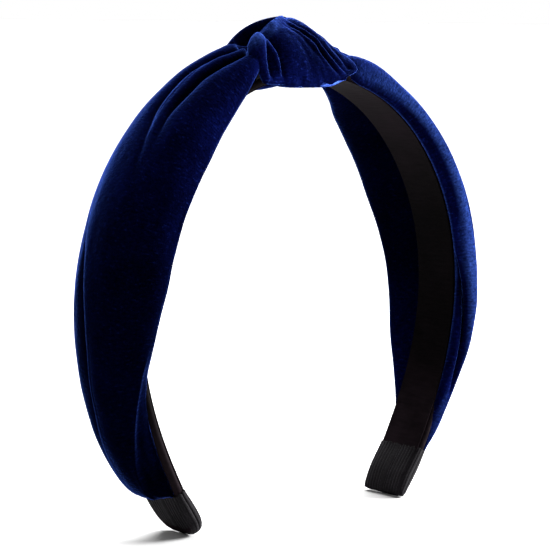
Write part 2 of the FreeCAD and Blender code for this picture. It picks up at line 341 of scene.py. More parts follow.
def plastic_material():
    m = Nodes("black_plastic")
    grain = m.noise(m.object_coords(), 900.0, 3.0, 0.6)
    colour = m.ramp(grain, [(0.3, (0.012, 0.012, 0.013)), (0.7, (0.022, 0.022, 0.024))])
    m.set(Base_Color=colour, Roughness=0.5)
    m.set(Normal=m.bump(grain, 0.2, 0.0001))
    return m.material


def glue_material():
    m = Nodes("hot_melt_glue")
    cloud = m.noise(m.object_coords(), 400.0, 3.0, 0.6)
    m.set(Base_Color=m.ramp(cloud, [(0.3, (0.55, 0.52, 0.45)), (0.7, (0.75, 0.73, 0.66))]), Roughness=0.3)
    m.set(Normal=m.bump(cloud, 0.3, 0.0002))
    return m.material


VELVET = velvet_material()
SATIN = satin_material()
GROSGRAIN = grosgrain_material()
WADDING = wadding_material()
PLASTIC = plastic_material()
GLUE = glue_material()


def finish_piece(piece, material, slot, *replaced):
    piece.data.materials.clear()
    piece.data.materials.append(material)
    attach(piece, "root")
    if replaced:
        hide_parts(*replaced)


def repaint(node, material):
    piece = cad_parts[node]
    for place in piece.material_slots:
        place.material = material


# ---- velvet legs ----------------------------------------------------------------------------
ARC_POINTS = 168
LIP_POINTS = 36
UNDER_POINTS = 14
BASE_POINTS = 8
RINGS = 300
WADDING_BASE = 4.0
WADDING_FROM_KNOT = 11.0
WADDING_FROM_TIP = 9.0
WADDING_RINGS = 110
WADDING_WIDTH = 0.8     # share of the velvet's width
SETTLE_FRAMES = 20
SETTLE_STEP = 4         # every how many rows and columns are simulated
PRESSURE = 4.0
LEG_GIVE = 0.5          # furthest that the padding presses the velvet out
KNOT_GIVE = 0.3
GLUED_ANGLE = 50.0      # the tube is held within this angle of the middle of its underside
# angle round the tube at each point: the outer face, front lip, underside, back lip
TURN = np.concatenate([
    np.linspace(90.0, -90.0, ARC_POINTS),
    np.linspace(-90.0, -135.0, LIP_POINTS + 1)[1:],
    np.linspace(-135.0, -150.0, UNDER_POINTS + 1)[1:],
    np.linspace(-150.0, -210.0, BASE_POINTS + 2)[1:-1],
    np.linspace(-210.0, -225.0, UNDER_POINTS + 1)[:-1],
    np.linspace(-225.0, -270.0, LIP_POINTS + 1)[:-1],
])


def leg_outline(leg, s):
    """Closed outline (y, n) of the velvet tube at each s."""
    s = s[:, None]
    front, back, top = smooth(leg["front"], s), smooth(leg["back"], s), smooth(leg["top"], s)
    front_level, back_level = smooth(leg["front_level"], s), smooth(leg["back_level"], s)
    front_foot, back_foot = smooth(leg["front_foot"], s), smooth(leg["back_foot"], s)
    front_foot_n, back_foot_n = smooth(leg["front_foot_n"], s), smooth(leg["back_foot_n"], s)
    base = np.maximum(smooth(leg["base"], s), BAND_OUT + 0.15)
    phi = np.radians(np.linspace(90.0, -90.0, ARC_POINTS))[None, :]
    centre = (back - front) * 0.35
    edge = np.where(phi > 0, back, -front)
    level = np.where(phi > 0, back_level, front_level)
    full = leg["fullness"]
    y_arc = centre + (edge - centre) * np.abs(np.sin(phi)) ** full
    n_arc = level + (top - level) * np.cos(phi) ** full
    psi = np.radians(np.linspace(0.0, 90.0, LIP_POINTS + 1)[1:])[None, :]
    y_front = -(front_foot + (front - front_foot) * np.cos(psi))
    n_front = front_level - (front_level - front_foot_n) * np.sin(psi)
    y_back = (back_foot + (back - back_foot) * np.cos(psi))[:, ::-1]
    n_back = (back_level - (back_level - back_foot_n) * np.sin(psi))[:, ::-1]
    t = np.linspace(0.0, 1.0, UNDER_POINTS + 1)[1:][None, :]
    ease = t * t * (3 - 2 * t)
    shoulder = np.minimum(7.2, front_foot * 0.85)
    y_under_front = -(front_foot + (shoulder - front_foot) * t)
    n_under_front = front_foot_n + (base - front_foot_n) * ease
    shoulder = np.minimum(7.2, back_foot * 0.85)
    y_under_back = (back_foot + (shoulder - back_foot) * t)[:, ::-1]
    n_under_back = (back_foot_n + (base - back_foot_n) * ease)[:, ::-1]
    mid = np.linspace(0.0, 1.0, BASE_POINTS + 2)[1:-1][None, :]
    y_base = y_under_front[:, -1:] + (y_under_back[:, :1] - y_under_front[:, -1:]) * mid
    n_base = base + 0.0 * y_base
    y = np.hstack([y_arc, y_front, y_under_front, y_base, y_under_back, y_back])
    n = np.hstack([n_arc, n_front, n_under_front, n_base, n_under_back, n_back])
    return y, n


def leg_relief(leg, s, phi):
    """Height of the folds and small wrinkles on the outer face and the front lip."""
    s = s[:, None]
    front, back, top = smooth(leg["front"], s), smooth(leg["back"], s), smooth(leg["top"], s)
    reach = np.where(phi > 0, back, front)
    radius = np.hypot(reach * np.cos(np.radians(phi)), top * np.sin(np.radians(phi)))
    radius = np.maximum(radius, 4.0)
    height = np.zeros_like(radius)
    for crease in leg["creases"]:
        d = np.radians(phi - smooth(crease["path"], s)) * radius
        height += groove(d, smooth(crease["depth"], s), crease["front"], crease["back"])
    across = np.radians(phi) * radius
    height += 0.16 * ripple(s + 0 * across, across, 17.0, 4.2, leg["seed"])
    height += 0.07 * ripple(s + 0 * across, across, 6.0, 1.9, leg["seed"] + 1)
    gathers = np.exp(-np.maximum(leg["end"] - s, 0.0) / 7.0)
    height += 0.30 * gathers * ripple(s + 0 * across, across, 30.0, 1.5, leg["seed"] + 2)
    return height


CREASE_SHADE = 0.5      # painted shade: how much darker the velvet's colour is made for each mm down in a crease


def build_leg(name, leg):
    s = np.linspace(leg["start"], leg["end"], RINGS)
    y, n = leg_outline(leg, s)
    points = at(leg["side"] * s[:, None], y, n)
    normals = row_normals(points)
    relief = np.zeros(y.shape)
    folded = ARC_POINTS + LIP_POINTS
    relief[:, :folded] = leg_relief(leg, s, TURN[None, :folded])
    glued = np.abs(TURN + 180.0) < GLUED_ANGLE
    points = settle(points + normals * relief[..., None], glued, LEG_GIVE)
    across, up = np.diff(y, axis=1, prepend=y[:, :1]), np.diff(n, axis=1, prepend=n[:, :1])
    girth = np.cumsum(np.hypot(across, up), axis=1)
    cloth = np.stack([s[:, None] + 0 * girth, girth], axis=-1)
    # painted light and shade in the velvet's colour from the tables along and round the leg, plus painted
    # shade down in the creases
    painted_light_and_shade = smooth(leg["painted_light_along"], s)[:, None] * smooth(leg["painted_light_round"], TURN)[None, :]
    painted_light_and_shade += CREASE_SHADE * np.minimum(relief, 0.0)
    return grid_object(name, points, cloth, painted_light_and_shade)


def build_wadding(name, leg):
    """Padding inside a leg: a loaf between the band and the velvet's outer face."""
    s = np.linspace(leg["start"] + WADDING_FROM_KNOT, leg["end"] - WADDING_FROM_TIP, WADDING_RINGS)
    y, n = leg_outline(leg, s)
    y, n = y[:, :ARC_POINTS:3], n[:, :ARC_POINTS:3]
    full = smooth([(20, 0.5), (40, 0.6), (60, 0.7), (139, 0.72)], s)[:, None]
    n = np.maximum(WADDING_BASE + full * (n - WADDING_BASE), WADDING_BASE)
    fluff = 0.25 * ripple(s[:, None] + 0 * y, y, 5.0, 3.0, leg["seed"] + 3)
    n = n + fluff * (n > WADDING_BASE + 0.5)
    return grid_object(name, at(leg["side"] * s[:, None], WADDING_WIDTH * y, n))


def settle(points, held, limit):
    """Cloth simulation: the padding presses the cloth outward for a few frames. held marks the
    columns that are fixed to the band. The move is capped and read off a coarser copy."""
    rows = np.arange(0, points.shape[0], SETTLE_STEP)
    cols = np.arange(0, points.shape[1], SETTLE_STEP)
    coarse = points[np.ix_(rows, cols)]
    fixed = held[cols][None, :] | ((rows == rows[0]) | (rows == rows[-1]))[:, None]
    shift = pressed_out(coarse, fixed) - coarse
    length = np.linalg.norm(shift, axis=-1, keepdims=True) + 1e-9
    shift *= np.minimum(1.0, limit / length)
    ring, lines = np.arange(points.shape[1]), np.arange(points.shape[0])
    closed = np.concatenate([shift, shift[:, :1]], axis=1)
    places = np.append(cols, points.shape[1])
    wide = np.stack([[np.interp(ring, places, row[:, k]) for k in range(3)] for row in closed])
    full = [[np.interp(lines, rows, wide[:, k, c]) for c in ring] for k in range(3)]
    return points + np.transpose(np.array(full), (2, 1, 0))


def pressed_out(points, fixed):
    """The grid after the simulation, in mm."""
    scene = bpy.context.scene
    piece = grid_object("pressed", points)
    end_caps = [fixed.size, fixed.size + 1]
    group = piece.vertex_groups.new(name="held")
    group.add(np.flatnonzero(fixed).tolist() + end_caps, 1.0, "REPLACE")
    cloth = piece.modifiers.new("cloth", "CLOTH")
    cloth.settings.quality = 4
    cloth.settings.use_pressure = True
    cloth.settings.uniform_pressure_force = PRESSURE
    cloth.settings.vertex_group_mass = "held"
    cloth.settings.effector_weights.gravity = 0.0
    cloth.point_cache.frame_start, cloth.point_cache.frame_end = 1, SETTLE_FRAMES
    for step in range(1, SETTLE_FRAMES + 1):
        scene.frame_set(step)
    pressed = piece.evaluated_get(bpy.context.evaluated_depsgraph_get()).to_mesh()
    moved = np.empty(len(pressed.vertices) * 3)
    pressed.vertices.foreach_get("co", moved)
    bpy.data.objects.remove(piece)
    scene.frame_set(1)
    return moved[:points.size].reshape(points.shape) / MM


# Tables of (length from the crown, value).  front, back and top are the outline's reach, the levels and
# feet say where its lips turn under, and a crease's path is its angle round the tube.
LEFT_LEG = {
    "side": -1, "start": 12.0, "end": 139.2, "seed": 11, "fullness": 0.94,
    "front": [(12, 2.0), (15.2, 4.0), (16.6, 7.4), (18, 9.8), (20, 11.5), (23, 12.3), (28, 12.7),
              (38.5, 13.3), (48, 14.2), (56, 14.4), (64, 14.4), (72, 14.6), (80, 14.4), (90, 13.4),
              (99, 11.3), (107, 8.7), (113, 7.5), (120, 6.5), (130, 6.1), (139.2, 5.8)],
    "back": [(12, 8.0), (20, 11.5), (30, 14.4), (46, 15.6), (76, 15.5), (100, 13.6), (118, 11.4),
             (130, 9.2), (139.2, 7.2)],
    "top": [(12, 9.4), (18, 11.7), (26, 11.5), (36, 10.9), (46, 10.8), (60, 10.8), (76, 11.0),
            (90, 11.5), (104, 11.8), (118, 11.7), (128, 10.9), (134, 9.6), (137.5, 7.6), (139.2, 4.4)],
    "front_level": [(12, 8.6), (18.2, 8.2), (22.4, 6.4), (28, 3.2), (38, 0.7), (50, -0.6), (80, -0.8),
                    (95, 0.8), (107, 2.6), (115, 3.0), (139.2, 3.0)],
    "back_level": [(12, 4.0), (24, 2.0), (36, 0.2), (80, 0.0), (105, 1.5), (125, 3.4), (139.2, 3.2)],
    "front_foot": [(12, 1.6), (15.2, 3.2), (17.5, 6.4), (19.5, 8.8), (23, 10.0), (28, 10.6), (38, 11.6),
                   (60, 13.4), (80, 13.2), (95, 10.6), (107, 7.6), (113, 7.0), (120, 6.6),
                   (139.2, 6.0)],
    "back_foot": [(12, 6.0), (24, 9.5), (36, 12.2), (76, 13.2), (100, 10.8), (120, 8.6), (139.2, 6.8)],
    "front_foot_n": [(12, 7.0), (17, 6.0), (21, 4.6), (28, 1.6), (38, -0.8), (50, -2.2), (80, -2.4),
                     (95, -0.6), (107, 1.6), (115, 2.9), (139.2, 2.9)],
    "back_foot_n": [(12, 2.9), (24, 0.8), (36, -1.4), (80, -1.6), (105, 0.0), (125, 2.6), (139.2, 2.9)],
    "base": [(12, 3.0), (139.2, 3.0)],
    # painted light and shade of the velvet's colour, along the leg and round the tube: above 0 is a
    # painted highlight, below 0 painted shade
    "painted_light_along": [(12, 0.05), (28, -0.1), (50, -0.3), (90, -0.75), (139.2, -0.9)],
    "painted_light_round": [(-270, 1.0), (20, 1.0), (60, 0.0), (90, 0.0)],
    "creases": [
        # deep crease above the leaf-shaped front roll
        {"path": [(12, -42), (16, -38), (20, -33), (27, -21), (32, -15), (42, -15), (49, -20),
                  (60, -26)],
         "depth": [(12, 2.6), (26, 2.4), (36, 2.0), (45, 0.9), (54, 0.0)],
         "front": 1.6, "back": 1.0},
        # crease between the second roll and the top roll
        {"path": [(12, -14), (19, -9), (25, 4), (33, 12), (41, 7), (48, -3), (55, -12), (64, -18)],
         "depth": [(12, 1.8), (26, 2.0), (40, 1.6), (52, 0.7), (63, 0.0)],
         "front": 1.5, "back": 1.3},
        # soft crease far back on the top roll
        {"path": [(12, 34), (20, 42), (32, 48), (46, 50), (60, 50)],
         "depth": [(12, 0.6), (28, 0.6), (46, 0.3), (60, 0.0)],
         "front": 1.8, "back": 2.2},
        # long crease down the outer side
        {"path": [(62, 44), (70, 36), (78, 24), (86, 16), (92, 11), (100, 7), (108, 7), (118, 12),
                  (128, 18)],
         "depth": [(62, 0.0), (76, 0.7), (92, 1.2), (112, 1.0), (126, 0.3), (134, 0.0)],
         "front": 0.7, "back": 2.6},
        # ridge where the front edge turns under, near the tip
        {"path": [(92, -86), (106, -80), (113, -70), (120, -58), (128, -42), (135, -34), (139.2, -30)],
         "depth": [(92, 0.0), (104, -0.5), (116, -1.1), (130, -1.2), (139.2, -0.3)],
         "front": 0.7, "back": 2.4},
    ],
}

# The right leg's back edge reaches widest about 64 mm from the crown.
RIGHT_LEG = {
    "side": 1, "start": 10.0, "end": 139.2, "seed": 31, "fullness": 0.94,
    "front": [(10, 7.5), (16, 9.2), (24, 10.0), (40, 11.2), (60, 11.3), (80, 11.1), (95, 11.4),
              (106, 11.0), (118, 9.3), (128, 8.0), (139.2, 6.9)],
    "back": [(10, 9.0), (18.5, 10.6), (28, 14.8), (37, 19.2), (50, 22.0), (64, 22.6), (77, 20.6),
             (86, 19.0), (95, 18.0), (106.5, 16.6), (118.5, 13.4), (127.5, 9.6), (132, 7.8),
             (139.2, 7.0)],
    "top": [(10, 6.8), (15, 8.8), (21, 9.0), (32, 7.3), (46, 6.5), (60, 7.7), (76, 9.4), (92, 10.4),
            (106, 9.7), (118, 8.5), (128, 7.4), (135, 6.0), (139.2, 3.6)],
    "front_level": [(10, 3.2), (20, 4.2), (60, 4.6), (90, 4.4), (110, 4.2), (128, 3.8), (139.2, 3.2)],
    "back_level": [(10, 3.0), (22, 1.6), (40, -0.4), (80, -0.8), (104, 0.6), (124, 3.2), (139.2, 3.3)],
    "front_foot": [(10, 6.8), (18, 8.1), (90, 7.8), (139.2, 6.8)],
    "back_foot": [(10, 7.4), (18.5, 8.8), (28, 12.6), (37, 16.8), (50, 19.4), (64, 20.0), (77, 18.4),
                  (86, 16.8), (95, 15.8), (106, 14.4), (118, 11.6), (127.5, 8.4), (132, 7.4),
                  (139.2, 6.8)],
    "front_foot_n": [(10, 1.6), (18, -0.2), (90, -0.3), (110, 0.1), (128, 0.8), (139.2, 2.6)],
    "back_foot_n": [(10, 1.6), (22, -0.4), (40, -2.2), (80, -2.5), (104, -1.4), (124, 2.2),
                    (139.2, 2.9)],
    "base": [(10, 3.0), (139.2, 3.0)],
    # painted light and shade of the velvet's colour, along the leg and round the tube: above 0 is a
    # painted highlight, below 0 painted shade
    "painted_light_along": [(10, 0.15), (24, 0.4), (38, 0.8), (80, 0.85), (104, 0.45), (139.2, 0.15)],
    "painted_light_round": [(-270, -0.9), (-225, -1.2), (-200, -1.2), (-150, 0.3), (-136, 0.7), (-128, 0.0),
                  (-112, 0.2), (-97, 0.9), (-80, 0.65), (-60, 0.15), (-20, 0.0), (30, -0.3),
                  (90, -0.9)],
    "creases": [
        # dark fold that leaves the lining's edge and runs to the tip
        {"path": [(84, -136), (90, -126), (96, -116), (106, -106), (114, -99), (124, -92)],
         "depth": [(80, 0.0), (86, 1.8), (94, 2.6), (108, 1.9), (118, 0.8), (126, 0.0)],
         "front": 1.2, "back": 1.3},
        # soft dent along the front lip
        {"path": [(20, -128), (36, -120), (50, -116), (64, -114), (78, -118)],
         "depth": [(20, 0.0), (34, 0.5), (52, 0.8), (66, 0.5), (80, 0.0)],
         "front": 1.2, "back": 1.6},
        # long crease beside the front edge
        {"path": [(58, -88), (70, -80), (80, -72), (90, -66), (104, -60), (118, -60), (128, -62)],
         "depth": [(58, 0.0), (70, 0.6), (84, 1.0), (104, 1.0), (118, 0.6), (130, 0.0)],
         "front": 1.4, "back": 0.9},
        # pleats that leave the knot
        {"path": [(12, 26), (20, 18), (34, 12), (50, 10), (66, 12)],
         "depth": [(12, 2.0), (24, 1.8), (44, 0.7), (62, 0.0)],
         "front": 1.4, "back": 2.0},
        {"path": [(12, -20), (20, -16), (34, -18), (50, -22), (66, -24)],
         "depth": [(12, 1.6), (24, 1.3), (40, 0.5), (56, 0.0)],
         "front": 2.0, "back": 1.3},
        # long crease down the outer side
        {"path": [(80, 30), (92, 24), (104, 20), (118, 18), (130, 16)],
         "depth": [(80, 0.0), (92, 0.8), (112, 1.0), (134, 0.2)],
         "front": 0.9, "back": 2.2},
    ],
}

# ---- knot -----------------------------------------------------------------------------------
ARCH_Y = 0.8
ARCH_RY = 12.8
ARCH_BASE = 117.6
ARCH_TOP = [(-26, 127.0), (-18, 130.4), (-10, 133.3), (-2, 133.7), (4, 131.2), (9.5, 127.0),
            (15.5, 123.1), (22, 120.5)]


def arch(phi, x, r=0.0):
    """Points over the crown: phi from the front (-90) over the top (0) to the back (90)."""
    phi, x, r = np.broadcast_arrays(np.asarray(phi, float), x, r)
    a = np.radians(phi)
    rise = smooth(ARCH_TOP, x) - ARCH_BASE
    ny, nz = np.sin(a) / ARCH_RY, np.cos(a) / rise
    size = np.hypot(ny, nz)
    y = ARCH_Y + ARCH_RY * np.sin(a) + r * ny / size
    z = ARCH_BASE + rise * np.cos(a) + r * nz / size
    return np.stack([x + 0 * y, y, z], axis=-1)


OUTER_POINTS = 130
RIM_POINTS = 22
INNER_POINTS = 50
HEM_FROM = -56.0        # below this phi the front hem is lifted, fully so after HEM_OVER degrees
HEM_OVER = 40.0
CREASE_SLANT = 0.85     # creases run aslant, so they lie closer together than their x tells
EDGE_FADE = 0.06        # share of the width over which the folds fade out at each edge


def soft_spots(spots, phi, x):
    """Sum of soft round spots, each (phi, x, size in phi, size in x, value)."""
    total = np.zeros_like(x)
    for spot_phi, spot_x, wide_phi, wide_x, value in spots:
        total += value * np.exp(-((phi - spot_phi) / wide_phi) ** 2 - ((x - spot_x) / wide_x) ** 2)
    return total


def crown_relief(strip, phi, x, share):
    """Height of the lobes, folds and rolls on the strip's outer face, share of the way across it."""
    puff = (x - smooth(strip["left"], phi)) / strip["puff_width"]
    lift = smooth(strip["left_puff"], phi) * np.exp(-puff ** 2) + soft_spots(strip["lobes"], phi, x)
    folds = np.zeros_like(x)
    for crease in strip["creases"]:
        d = (x - smooth(crease["path"], phi)) * CREASE_SLANT
        folds += groove(d, smooth(crease["depth"], phi), crease["left"], crease["right"])
    fade = np.minimum(1.0, np.minimum(share, 1 - share) / EDGE_FADE)
    along = np.radians(phi) * ARCH_RY + 0 * x
    folds += 0.14 * ripple(along + x * 0.8, x - along * 0.6, 9.0, 2.4, strip["seed"])
    folds += 0.07 * ripple(along, x, 3.0, 1.3, strip["seed"] + 1)
    hem = np.exp(-(np.minimum(phi - strip["from"], strip["to"] - phi) / 9.0) ** 2)
    folds += 0.55 * hem * ripple(along, x + along * 0.4, 9.0, 2.1, strip["seed"] + 2)
    height = lift + folds * fade
    for roll in strip["rolls"]:
        over = roll_height(along, x, roll) - height
        height = height + (over + np.sqrt(over * over + 0.16)) / 2
    return height


def strip_over_crown(name, strip, rows=170):
    """Thick folded strip over the crown: outer face, right rim, inner face, left rim."""
    phi = np.linspace(strip["from"], strip["to"], rows)[:, None]
    left, right = smooth(strip["left"], phi), smooth(strip["right"], phi)
    end = np.minimum((phi - strip["from"]) / strip["round"], (strip["to"] - phi) / strip["round"])
    closing = np.sqrt(1 - (1 - np.clip(end, 0.02, 1.0)) ** 2)
    rim_l, rim_r = smooth(strip["left_rim"], phi) * closing, smooth(strip["right_rim"], phi) * closing
    share = np.linspace(0.0, 1.0, OUTER_POINTS)[None, :]
    x_outer = left + rim_l + (right - rim_r - left - rim_l) * share
    thick = rim_l + (rim_r - rim_l) * share
    r_outer = crown_relief(strip, phi, x_outer, share) * closing - (1 - closing) * thick
    r_start, r_end = r_outer[:, :1], r_outer[:, -1:]
    rim = np.radians(np.linspace(0.0, 180.0, RIM_POINTS + 2)[1:-1])[None, :]
    x_right, r_right = right - rim_r + rim_r * np.sin(rim), r_end - rim_r + rim_r * np.cos(rim)
    x_left = left + rim_l - rim_l * np.sin(rim[:, ::-1])
    r_left = r_start - rim_l + rim_l * np.cos(rim[:, ::-1])
    back = np.linspace(1.0, 0.0, INNER_POINTS)[None, :]
    x_inner = left + rim_l + (right - rim_r - left - rim_l) * back
    r_inner = (r_start - 2 * rim_l) + ((r_end - 2 * rim_r) - (r_start - 2 * rim_l)) * back
    x = np.hstack([x_outer, x_right, x_inner, x_left])
    r = np.hstack([r_outer, r_right, r_inner, r_left])
    cloth = np.stack([np.radians(phi) * ARCH_RY + 0 * x, x], axis=-1)
    column = np.arange(x.shape[1])
    held = (column >= OUTER_POINTS + RIM_POINTS // 2) & (column < x.shape[1] - RIM_POINTS // 2)
    low_end = np.clip((HEM_FROM - phi) / HEM_OVER, 0.0, 1.0)
    points = settle(arch(phi + low_end * smooth(strip["hem_lift"], x), x, r), held, KNOT_GIVE)
    # painted light and shade in the velvet's colour, as soft spots over the strip
    return grid_object(name, points, cloth, soft_spots(strip["painted_light_spots"], phi, x))


def roll_height(along, x, roll, steps=60):
    """Height of a round roll of cloth over the dome, and far below it where there is no roll."""
    share = np.linspace(0.0, 1.0, steps)
    places = np.linspace(0.0, 1.0, len(roll))
    phi, middle, height, radius = (np.interp(share, places, column) for column in zip(*roll))
    gap = np.hypot(along[..., None] - np.radians(phi) * ARCH_RY, x[..., None] - middle)
    rise = np.sqrt(np.maximum(radius**2 - gap**2, 0.0))
    return np.where(gap < radius, height + rise, height - (gap - radius) * 3.0).max(axis=-1)


FRONT_STRIP = {
    "from": -98.5, "to": 24.0, "round": 8.0, "seed": 51, "puff_width": 3.6,
    "left": [(-97, -20.6), (-88, -21.6), (-74, -22.6), (-60, -23.2), (-48, -23.6), (-40, -23.1),
             (-34, -21.8), (-30, -19.6), (-26, -16.6), (-22, -13.9), (-16, -11.0), (-10, -8.4),
             (-2, -6.2), (6, -5.2), (24, -3.0)],
    "right": [(-97, 8.5), (-88, 11.6), (-76, 13.2), (-60, 13.8), (-30, 14.0), (24, 14.6)],
    "left_rim": [(-97, 1.2), (-60, 1.5), (-38, 1.6), (-30, 1.3), (-24, 2.4), (-16, 3.0), (-8, 2.6),
                 (4, 2.0), (24, 1.4)],
    "right_rim": [(-97, 0.9), (-60, 1.1), (24, 1.3)],
    "left_puff": [(-97, 0.0), (-60, 0.3), (-24, 0.3), (24, 0.0)],
    "lobes": [(-50.0, -4.0, 26.0, 8.0, 0.9)],
    # soft spots of painted highlight on the lobes (above 0) and painted shade (below 0)
    "painted_light_spots": [(-34, -20.5, 11, 3.6, 0.8), (-26, -12.5, 12, 3.5, 0.6), (-2, -4.0, 12, 5.0, 0.5),
                  (-58, 1.0, 30, 12.0, -0.75), (-75, -17.0, 14, 5.0, -0.5)],
    # round rolls of cloth: (phi, x, height of the middle line, radius) along each
    "rolls": [
        [(-39.5, -20.4, -0.7, 3.2), (-49, -20.9, -0.6, 2.6), (-63, -21.2, -0.8, 2.0),
         (-78, -21.0, -1.0, 1.7), (-92, -20.2, -1.0, 1.2)],
        [(-42, -16.9, -0.7, 0.9), (-52, -17.2, -0.5, 1.2), (-62, -16.6, -0.5, 1.2),
         (-72, -16.2, -0.6, 1.1), (-83, -15.6, -0.9, 0.8)],
        [(-23, -12.0, -2.5, 3.2), (-13, -7.4, -3.1, 3.5)],
    ],
    "hem_lift": [(-22, 3.0), (-14, 0.0), (2, 0.0), (8, 6.0), (14, 11.0)],
    "creases": [
        # shadow between the first lobe's roll and the narrow roll beside it
        {"path": [(-97, -17.6), (-80, -18.6), (-67, -19.0), (-55, -18.9), (-45, -18.4), (-38, -17.8),
                  (-30, -16.6)],
         "depth": [(-97, 0.2), (-84, 1.0), (-70, 1.8), (-56, 2.4), (-42, 2.4), (-34, 1.8), (-28, 0.8),
                   (-22, 0.0)],
         "left": 1.3, "right": 0.9},
        # shadow between the narrow roll and the broad face
        {"path": [(-97, -13.4), (-83, -14.4), (-76, -14.7), (-64, -15.2), (-52, -15.8), (-43, -16.3),
                  (-34, -16.6)],
         "depth": [(-97, 0.0), (-86, 0.7), (-74, 1.4), (-56, 2.0), (-42, 1.8), (-35, 1.2), (-28, 0.0)],
         "left": 0.7, "right": 1.2},
        {"path": [(-97, -4.0), (-74, -4.6), (-58, -6.2), (-46, -8.4), (-36, -10.4)],
         "depth": [(-97, 0.2), (-80, 0.5), (-60, 0.5), (-44, 0.3), (-34, 0.0)],
         "left": 2.4, "right": 2.4},
        {"path": [(-97, 2.0), (-74, 0.2), (-62, -2.4), (-48, -4.9), (-33, -7.6), (-18, -9.2)],
         "depth": [(-97, 0.0), (-74, 0.6), (-60, 0.9), (-40, 0.8), (-26, 0.3), (-16, 0.0)],
         "left": 2.4, "right": 0.8},
        {"path": [(-97, 6.5), (-75, 3.4), (-65, 1.1), (-55, -0.5), (-45, -2.9), (-31, -5.6),
                  (-12, -7.0), (10, -5)],
         "depth": [(-97, 0.2), (-80, 1.0), (-60, 1.7), (-40, 1.7), (-20, 1.2), (-6, 0.4), (10, 0.0)],
         "left": 0.8, "right": 0.8},
        {"path": [(-97, 9.5), (-73, 6.6), (-59, 3.8), (-50, 2.0), (-41, -0.6), (-29, -3.0), (-10, -3.6),
                  (20, -2.0)],
         "depth": [(-97, 0.3), (-78, 1.1), (-55, 2.0), (-30, 1.8), (-10, 1.2), (6, 0.5), (20, 0.2)],
         "left": 0.8, "right": 2.2},
        {"path": [(-97, 11.5), (-76, 10.4), (-60, 8.8), (-40, 5.6), (-20, 3.4), (0, 3.0), (24, 4.0)],
         "depth": [(-97, 0.2), (-76, 0.8), (-50, 0.8), (-20, 0.7), (0, 0.5), (24, 0.3)],
         "left": 1.6, "right": 2.2},
    ],
}

BACK_STRIP = {
    "from": 2.0, "to": 104.0, "round": 9.0, "seed": 71, "puff_width": 3.0,
    "hem_lift": [(-30, 0.0), (30, 0.0)],
    "lobes": [],
    "rolls": [],
    # painted shade over the back fold
    "painted_light_spots": [(30, -8.0, 40, 8.0, -0.5)],
    "left": [(2, -1.0), (10, -4.0), (22, -7.8), (36, -11.4), (50, -13.8), (70, -15.4), (90, -15.0),
             (104, -12.0)],
    "right": [(2, 16.0), (30, 17.0), (60, 19.0), (90, 19.5), (104, 17.0)],
    "left_rim": [(2, 1.6), (40, 1.9), (104, 1.3)],
    "right_rim": [(2, 1.2), (104, 1.2)],
    "left_puff": [(2, 0.2), (30, 0.5), (60, 0.4), (104, 0.0)],
    "creases": [
        {"path": [(2, 2.0), (30, -2.0), (55, -7.0), (80, -10.0), (104, -11.0)],
         "depth": [(2, 0.5), (30, 1.4), (70, 1.4), (104, 0.3)],
         "left": 1.6, "right": 0.9},
        {"path": [(2, 6.0), (30, 3.0), (55, 0.0), (80, -2.0), (104, -3.0)],
         "depth": [(2, 0.5), (30, 1.2), (70, 1.5), (104, 0.3)],
         "left": 0.9, "right": 1.8},
        {"path": [(2, 11.0), (30, 9.0), (55, 8.0), (80, 8.0), (104, 8.0)],
         "depth": [(2, 0.4), (30, 1.2), (70, 1.4), (104, 0.3)],
         "left": 1.7, "right": 1.0},
    ],
}


def bunched_strand(name, x_from, x_to, seed):
    """Velvet bunched up inside the knot."""
    x = np.linspace(x_from, x_to, 60)[:, None]
    a = np.linspace(0.0, 2 * math.pi, 96, endpoint=False)[None, :]
    pleats = 0.5 * ripple(x + 0 * a, a * 7.0 + 0 * x, 9.0, 1.9, seed)
    closing = np.sqrt(np.clip(1 - ((x - (x_from + x_to) / 2) / (abs(x_to - x_from) / 2)) ** 8, 0.05, 1))
    ry, rz = (8.2 + pleats) * closing, (3.1 + pleats) * closing
    floor = np.interp(np.abs(x), LINE_X[:300], LINE_Z[:300]) + BAND_OUT + 0.4
    y = 0.8 + ry * np.cos(a)
    z = floor + 3.0 + rz * np.sin(a)
    return grid_object(name, np.stack([x + 0 * y, y, z], axis=-1))


# ---- ribbons --------------------------------------------------------------------------------
PLASTIC_INSET = 0.4     # how far the strip stays inside its cover, at the edges and the tips
PLASTIC_LEVELS = (0.8, 2.4)


def ribbon_strip(name, half, low, high, reach, rings=420, edge=0.18):
    """Woven strip along the band, with round edges and a slight waviness."""
    s = np.linspace(-reach, reach, rings)[:, None]
    across = np.linspace(-1.0, 1.0, 41)[None, :]
    w = half(s)
    y_face = across * (w - edge)
    wave = 0.05 * ripple(s + 0 * y_face, y_face, 14.0, 5.0, 91)
    rim = np.radians(np.linspace(0.0, 180.0, 7)[1:-1])[None, :]
    y_rim = (w - edge) + edge * np.sin(rim)
    n_rim = (low + high) / 2 - (high - low) / 2 * np.cos(rim) + 0 * s
    y = np.hstack([y_face, y_rim, y_face[:, ::-1], -y_rim[:, ::-1]])
    n = np.hstack([low + wave, n_rim, high + 0 * wave, n_rim[:, ::-1]])
    return grid_object(name, at(s, y, n))


COVER_LOW = LINING_THICKNESS    # inner side of the turned-in margins
COVER_THICKNESS = 0.35
COVER_ROWS = 420
FACE_POINTS = 25
TURN_POINTS = 13
HEM_POINTS = 8


